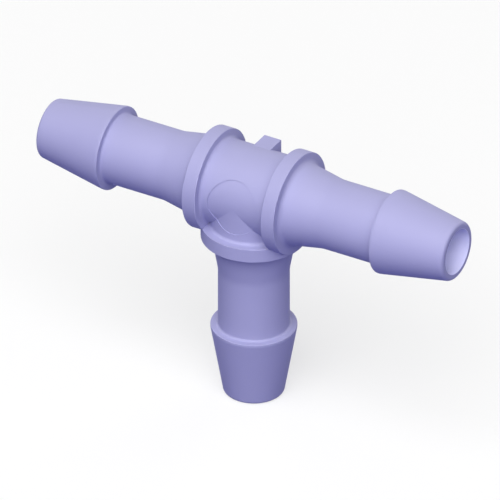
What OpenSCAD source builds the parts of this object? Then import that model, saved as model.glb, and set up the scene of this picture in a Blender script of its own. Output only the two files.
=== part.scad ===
// Hose barb tee: one moulded piece with three equal barbed arms.
// The run lies along X, the branch points down and stands on its open end at Z = 0.
// Every arm has the same section: collar, flare, neck, barb and open end.

/* [Arms] */
// Length of each run arm, from the crossing of the bores to its open end
run_arm_l = 22; // [18:0.5:40]
// Length of the branch, from the crossing of the bores to its open end
branch_l = 22; // [18:0.5:40]

/* [Body] */
// Outside diameter of the plain body between the collars
body_d = 8.24; // [7.2:0.02:9]
// Diameter of the shallow round recess on the front of the body
mark_d = 5.4; // [3:0.1:6]
// Depth of that recess below the body's round surface
mark_depth = 0.08; // [0.04:0.01:0.2]

/* [Collars] */
// Distance from the crossing of the bores to the inner face of a collar
collar_at = 3.56; // [3:0.02:4.6]
// Thickness of a collar along its arm
collar_t = 1.4; // [1:0.02:2]
// Outside diameter of a collar
collar_d = 10.02; // [9.6:0.02:12]
// Fillet between a collar's inner face and the body
body_root_r = 0.3; // [0.1:0.05:0.4]
// Fillet between a collar's outer face and the flare
flare_root_r = 0.5; // [0.1:0.05:0.6]

/* [Neck] */
// Outside diameter of the neck, where the hose closes behind the barb
neck_d = 6.76; // [6:0.02:7.4]
// Outside diameter of the conical flare where it meets the collar
flare_d = 8.04; // [7.6:0.02:8.6]
// Length of the flare, from the collar to where its slope would meet the neck
flare_l = 3.56; // [2.6:0.02:4.6]
// Radius of the blend between the flare and the neck
flare_blend_r = 4.2; // [2:0.2:6]

/* [Barb] */
// Outside diameter at the crest of the barb
barb_d = 8.18; // [7.6:0.02:9]
// Distance from the ledge behind the crest to the open end
barb_l = 7.28; // [6:0.02:8.5]
// Length of the cylindrical land at the crest, which seals in the hose
crest_land = 0.2; // [0.1:0.05:0.6]
// Fillet between the ledge and the neck
ledge_root_r = 0.22; // [0.04:0.02:0.3]
// Outside diameter of the nose at the open end
tip_d = 5.74; // [5.5:0.02:6.6]
// Rounding of the outer edge at the open end
tip_r = 0.36; // [0.06:0.02:0.4]
// Rounding of the crisp outer edges, on the collars and the crest
edge_r = 0.05; // [0.02:0.01:0.1]

/* [Bore] */
// Diameter of the bore, the same in the run and in the branch
bore_d = 4.5; // [3:0.1:4.8]

/* [Moulding pad] */
// Width of the pad along the run
pad_w = 1.8; // [1:0.1:4]
// Height of the pad's top above the run's centre line
pad_top = 3.84; // [3.4:0.02:4.4]
// Distance of the pad's back face behind the run's centre line
pad_back = 3.6; // [2.8:0.1:4.4]

/* [Hidden] */
$fn = 96;
blend_fn = 4 * $fn;
plastic = [0.62, 0.62, 0.84];
over = 1;
bite = 0.2;
dip = 0.0005;
collar_end = collar_at + collar_t;

// Point at distance r along the line from p towards q
function along(p, q, r) = p + r * (q - p) / norm(q - p);

// Half of the angle at p between the lines to a and to b
function half_angle(p, a, b) =
    acos((a - p) * (b - p) / norm(a - p) / norm(b - p)) / 2;

// Centre of the circle of radius r that touches both lines from p
function touch_centre(p, a, b, r) =
    let (h = half_angle(p, a, b))
    let (ta = along(p, a, r / tan(h)))
    let (tb = along(p, b, r / tan(h)))
    along(p, (ta + tb) / 2, r / sin(h));

// What lies between a corner and the arc that rounds it, and a little past the corner:
// taken off an outer corner, or added to an inner one as a fillet that bites into the wall.
// The arc dips a hair into both walls, so that it crosses them instead of just touching
module corner(p, a, b, r, facets = $fn) {
    h = half_angle(p, a, b);
    c = touch_centre(p, a, b, r - dip);
    difference() {
        polygon([along(p, c, -bite), along(p, a, (r - dip) / tan(h)), c, along(p, b, (r - dip) / tan(h))]);
        translate(c) circle(r = r, $fn = facets);
    }
}

// Half section of an arm of length l, radius to the right and the open end up,
// from the crossing of the bores to the open end
module arm_section(l) {
    body_start = [body_d / 2, 0];
    body_root = [body_d / 2, collar_at];
    collar_in = [collar_d / 2, collar_at];
    collar_out = [collar_d / 2, collar_end];
    flare_root = [flare_d / 2, collar_end];
    flare_end = [neck_d / 2, collar_end + flare_l];
    ledge_root = [neck_d / 2, l - barb_l];
    ledge_edge = [barb_d / 2, l - barb_l];
    nose_root = [barb_d / 2, l - barb_l + edge_r + crest_land];
    rim = [tip_d / 2, l];
    difference() {
        polygon([
            [0, 0], body_start, body_root, collar_in, collar_out, flare_root,
            flare_end, ledge_root, ledge_edge, nose_root, rim, [0, l]
        ]);
        corner(collar_in, body_root, collar_out, edge_r);
        corner(collar_out, collar_in, flare_root, edge_r);
        corner(ledge_edge, ledge_root, nose_root, edge_r);
        corner(rim, nose_root, [0, l], tip_r);
    }
    corner(body_root, body_start, collar_in, body_root_r);
    corner(flare_root, collar_out, flare_end, flare_root_r);
    corner(flare_end, flare_root, ledge_root, flare_blend_r, blend_fn);
    corner(ledge_root, flare_end, ledge_edge, ledge_root_r);
}

// One arm, turned about Z with its open end up
module arm(l) {
    rotate_extrude() arm_section(l);
}

// The three arms, meeting at the crossing of the bores
module arms() {
    rotate([0, 90, 0]) arm(run_arm_l);
    rotate([0, -90, 0]) arm(run_arm_l);
    rotate([180, 0, 0]) arm(branch_l);
}

// Small square pad on the upper back of the body
module pad() {
    translate([-pad_w / 2, 0, 0]) cube([pad_w, pad_back, pad_top]);
}

// Two rods of diameter d crossing where the bores cross, each longer than its arms
module cross(d) {
    rotate([0, 90, 0])
        cylinder(d = d, h = 2 * (run_arm_l + over), center = true);
    translate([0, 0, -branch_l - over]) cylinder(d = d, h = branch_l + over);
}

// What the round recess takes off the front, down to a smaller body of the same form
module mark() {
    difference() {
        rotate([90, 0, 0]) cylinder(d = mark_d, h = body_d);
        cross(body_d - 2 * mark_depth);
    }
}

module tee() {
    color(plastic) translate([0, 0, branch_l])
        difference() {
            union() {
                arms();
                pad();
            }
            mark();
            cross(bore_d);
        }
}

tee();
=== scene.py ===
# Hose barb tee: the moulded plastic part on a pale studio floor
import math

import bmesh
import bpy
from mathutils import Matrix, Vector


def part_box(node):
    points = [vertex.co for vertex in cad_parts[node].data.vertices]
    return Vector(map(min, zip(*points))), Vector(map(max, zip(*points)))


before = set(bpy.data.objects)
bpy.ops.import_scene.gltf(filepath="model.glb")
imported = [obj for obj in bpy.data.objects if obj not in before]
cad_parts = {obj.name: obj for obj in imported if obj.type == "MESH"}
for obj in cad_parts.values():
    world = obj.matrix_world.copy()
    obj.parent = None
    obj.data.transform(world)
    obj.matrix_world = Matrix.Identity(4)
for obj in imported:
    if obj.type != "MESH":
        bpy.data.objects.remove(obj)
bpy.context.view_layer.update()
print("frame loaded")

millimetre = 0.001      # m
collarRadius = 5.01     # mm, how far the collars reach above the crossing of the bores
crossing = Vector((0, 0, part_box("tee")[1].z - collarRadius * millimetre))

# Sockets of the Mix node by number, because its float and colour sockets share their names
mixFactor, mixFloatA, mixFloatB, mixColourA, mixColourB = 0, 2, 3, 6, 7
mixedColour = 2         # among its outputs


def linearColour(hexCode):
    # sRGB hex to the linear RGBA that the sockets take, by the standard's own curve
    channels = [int(hexCode[i:i + 2], 16) / 255 for i in (1, 3, 5)]
    return [c / 12.92 if c <= 0.04045 else ((c + 0.055) / 1.055) ** 2.4 for c in channels] + [1]


def addNode(tree, kind, inputs=None, **settings):
    # inputs maps a socket's name or number to a value or to the output that feeds it
    node = tree.nodes.new(kind)
    for name, value in settings.items():
        setattr(node, name, value)
    for socket, value in (inputs or {}).items():
        if isinstance(value, bpy.types.NodeSocket):
            tree.links.new(value, node.inputs[socket])
        else:
            node.inputs[socket].default_value = value
    return node


def newMaterial(name):
    material = bpy.data.materials.new(name)
    material.use_nodes = True
    material.node_tree.nodes.clear()
    return material, material.node_tree


def direction(azimuth, elevation):
    # unit vector towards a compass angle, 0 at the front (-Y) and 90 at +X, and a height angle
    turn, rise = math.radians(azimuth), math.radians(elevation)
    return Vector((
        math.sin(turn) * math.cos(rise), -math.cos(turn) * math.cos(rise), math.sin(rise)))


# The camera: a parallel view, because the photo's edges along each arm stay parallel
view = {
    "azimuth": 29.81,           # degrees round from the front
    "elevation": 32.15,         # degrees above the floor
    "width": 46.91,             # mm across the picture
    "crossingRight": 0.365,     # mm from the picture's middle to the crossing of the bores
    "crossingUp": 5.649,        # mm, the same upwards
    "distance": 400,            # mm from the picture's middle
    "reach": 10,                # m, past the floor's far edge
}


def makeCamera():
    camera = bpy.data.objects.new("camera", bpy.data.cameras.new("camera"))
    bpy.context.scene.collection.objects.link(camera)
    towardsCamera = direction(view["azimuth"], view["elevation"])
    camera.rotation_euler = towardsCamera.to_track_quat("Z", "Y").to_euler()
    right, up, _ = camera.rotation_euler.to_matrix().col
    middle = crossing - (right * view["crossingRight"] + up * view["crossingUp"]) * millimetre
    camera.location = middle + towardsCamera * view["distance"] * millimetre
    camera.data.type = "ORTHO"
    camera.data.ortho_scale = view["width"] * millimetre
    camera.data.clip_end = view["reach"]
    bpy.context.scene.camera = camera


makeCamera()
print("camera placed")


# The part: moulded polypropylene with a fine matt skin
plastic = {
    "colour": "#9E9DC6",        # lavender
    "paleColour": "#A3A2CA",    # where the melt flowed thinner
    "borePaintedLight": "#DCDCFF",    # painted light: the bore's wall coloured paler, standing in for light through the thin plastic that lifts the shade inside the bore
    "boreReach": 2.26,          # mm from the bores' axes, just past the wall
    "boreFade": 0.03,           # mm over which the two colours run together
    "cloudSize": 5.0,           # mm, slow change of colour along the flow
    "cloudDetail": 2.0,         # octaves of the noise
    "grainSize": 0.35,          # mm, the mould's texture; really 0.05, drawn coarse enough to show
    "grainDetail": 3.0,         # octaves of the noise
    "grainDepth": 0.003,        # mm
    "roughness": 0.62,          # a mould with a fine matt texture
    "polish": 0.04,             # how far the roughness wanders to either side
    "ior": 1.49,                # polypropylene
    "shine": 0.35,              # 0.5 on a polished skin; the matt texture swallows part of it
}


def boreLightMask(tree, place):
    # 1 inside the bores and 0 outside them, from the distance to the nearer of their axes: where
    # the bores' painted light goes
    fromCrossing = addNode(tree, "ShaderNodeVectorMath", {
        0: place, 1: crossing}, operation="SUBTRACT").outputs["Vector"]
    apart = addNode(tree, "ShaderNodeSeparateXYZ", {0: fromCrossing}).outputs
    fromRun = addNode(tree, "ShaderNodeCombineXYZ", {"Y": apart["Y"], "Z": apart["Z"]})
    # the branch's axis ends at the crossing, so above it the height counts too
    height = addNode(tree, "ShaderNodeMath", {0: apart["Z"], 1: 0.0}, operation="MAXIMUM")
    fromBranch = addNode(tree, "ShaderNodeCombineXYZ", {
        "X": apart["X"], "Y": apart["Y"], "Z": height.outputs[0]})
    runDistance, branchDistance = (
        addNode(tree, "ShaderNodeVectorMath", {0: offset.outputs[0]}, operation="LENGTH")
        for offset in (fromRun, fromBranch))
    nearest = addNode(tree, "ShaderNodeMath", {
        0: runDistance.outputs["Value"], 1: branchDistance.outputs["Value"]}, operation="MINIMUM")
    inside = addNode(tree, "ShaderNodeMapRange", {
        "Value": nearest.outputs[0],
        "From Min": plastic["boreReach"] * millimetre,
        "From Max": (plastic["boreReach"] + plastic["boreFade"]) * millimetre,
        "To Min": 1.0,
        "To Max": 0.0})
    return inside.outputs["Result"]


def mouldedPolypropylene():
    # polypropylene, moulded: even, slightly waxy colour, broad soft highlights, and a barely
    # visible grain from the mould; the bores' walls carry painted light, a paler colour
    material, tree = newMaterial("mouldedPolypropylene")
    place = addNode(tree, "ShaderNodeTexCoord").outputs["Object"]
    cloud, grain = (
        addNode(tree, "ShaderNodeTexNoise", {
            "Vector": place,
            "Scale": 1 / (plastic[noise + "Size"] * millimetre),
            "Detail": plastic[noise + "Detail"]}).outputs["Fac"]
        for noise in ("cloud", "grain"))
    skin = addNode(tree, "ShaderNodeMix", {
        mixFactor: cloud,
        mixColourA: linearColour(plastic["colour"]),
        mixColourB: linearColour(plastic["paleColour"])}, data_type="RGBA")
    # painted light: inside the bores the paler bore colour replaces the skin's colour
    colour = addNode(tree, "ShaderNodeMix", {
        mixFactor: boreLightMask(tree, place),
        mixColourA: skin.outputs[mixedColour],
        mixColourB: linearColour(plastic["borePaintedLight"])}, data_type="RGBA")
    roughness = addNode(tree, "ShaderNodeMapRange", {
        "Value": cloud,
        "To Min": plastic["roughness"] - plastic["polish"],
        "To Max": plastic["roughness"] + plastic["polish"]})
    bump = addNode(tree, "ShaderNodeBump", {
        "Height": grain, "Strength": 1.0, "Distance": plastic["grainDepth"] * millimetre})
    surface = addNode(tree, "ShaderNodeBsdfPrincipled", {
        "Base Color": colour.outputs[mixedColour],
        "Roughness": roughness.outputs["Result"],
        "Normal": bump.outputs["Normal"],
        "IOR": plastic["ior"],
        "Specular IOR Level": plastic["shine"]})
    addNode(tree, "ShaderNodeOutputMaterial", {"Surface": surface.outputs["BSDF"]})
    return material


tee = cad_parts["tee"]
tee.data.materials.clear()
tee.data.materials.append(mouldedPolypropylene())
print("plastic on the tee")


# The studio: a pale floor, soft lamps and a plain white world
studio = {
    "floorSize": 4.0,           # m
    "floorColour": "#9C9C9C",   # as the eye sees it lit, shadow and all
    "floorGlow": 0.62,          # added for the eye and for reflections, so that the floor is white
    "floorBounce": "#101088",   # what it throws back up: a faint violet that keeps undersides deep
    "worldColour": "#FFFFFF",
    "ambient": 0.08,            # the world's level on the part
    "background": 1.0,          # its level for the eye and for reflections, plain white
    "lampDistance": 0.8,        # m from the crossing of the bores
    "lampSize": 0.8,            # m
    "lamps": {                  # azimuth, height (degrees), level (1 lights a white card white)
        "rightFront": (45, 35, 0.54),
        "front": (15, 35, 0.32),
        "overhead": (0, 60, 0.80),
        "leftFill": (-120, 10, 0.30),
        "backFill": (170, 10, 0.42),
    },
}


def seenRay(tree):
    # 1 for the rays of the eye and for those of reflections and glass, which show the same ground
    ray = addNode(tree, "ShaderNodeLightPath").outputs
    passed = addNode(tree, "ShaderNodeMath", {
        0: ray["Is Glossy Ray"], 1: ray["Is Transmission Ray"]}, operation="MAXIMUM")
    return addNode(tree, "ShaderNodeMath", {
        0: ray["Is Camera Ray"], 1: passed.outputs[0]}, operation="MAXIMUM").outputs[0]


def paleFloor():
    # matt white card: its lit colour keeps the part's shadow, and only seenRay's rays see its glow
    material, tree = newMaterial("paleFloor")
    glow = addNode(tree, "ShaderNodeMath", {
        0: seenRay(tree), 1: studio["floorGlow"]}, operation="MULTIPLY")
    colour = addNode(tree, "ShaderNodeMix", {
        mixFactor: addNode(tree, "ShaderNodeLightPath").outputs["Is Camera Ray"],
        mixColourA: linearColour(studio["floorBounce"]),
        mixColourB: linearColour(studio["floorColour"])}, data_type="RGBA")
    card = addNode(tree, "ShaderNodeBsdfDiffuse", {"Color": colour.outputs[mixedColour]})
    light = addNode(tree, "ShaderNodeEmission", {"Strength": glow.outputs[0]})
    both = addNode(tree, "ShaderNodeAddShader", {
        0: card.outputs["BSDF"], 1: light.outputs["Emission"]})
    addNode(tree, "ShaderNodeOutputMaterial", {"Surface": both.outputs["Shader"]})
    return material


def makeFloor():
    shape = bmesh.new()
    bmesh.ops.create_grid(shape, x_segments=1, y_segments=1, size=studio["floorSize"] / 2)
    mesh = bpy.data.meshes.new("floor")
    shape.to_mesh(mesh)
    shape.free()
    floor = bpy.data.objects.new("floor", mesh)
    bpy.context.scene.collection.objects.link(floor)
    mesh.materials.append(paleFloor())


def makeLamp(name, azimuth, elevation, level):
    lamp = bpy.data.lights.new(name, "AREA")
    lamp.shape = "DISK"
    lamp.size = studio["lampSize"]
    # watts, so that a white card at the crossing that faces the lamp renders at the level
    lamp.energy = level * math.pi ** 2 * studio["lampDistance"] ** 2
    holder = bpy.data.objects.new(name, lamp)
    bpy.context.scene.collection.objects.link(holder)
    towardsLamp = direction(azimuth, elevation)
    holder.location = crossing + towardsLamp * studio["lampDistance"]
    holder.rotation_euler = towardsLamp.to_track_quat("Z", "Y").to_euler()


def makeWorld():
    world = bpy.data.worlds.new("studio")
    world.use_nodes = True
    tree = world.node_tree
    tree.nodes.clear()
    strength = addNode(tree, "ShaderNodeMix", {
        mixFactor: seenRay(tree),
        mixFloatA: studio["ambient"],
        mixFloatB: studio["background"]}, data_type="FLOAT")
    light = addNode(tree, "ShaderNodeBackground", {
        "Color": linearColour(studio["worldColour"]), "Strength": strength.outputs[0]})
    addNode(tree, "ShaderNodeOutputWorld", {"Surface": light.outputs["Background"]})
    bpy.context.scene.world = world


makeFloor()
for lampName, (azimuth, elevation, level) in studio["lamps"].items():
    makeLamp(lampName, azimuth, elevation, level)
makeWorld()
bpy.context.scene.view_settings.view_transform = "Standard"
print("studio lit")
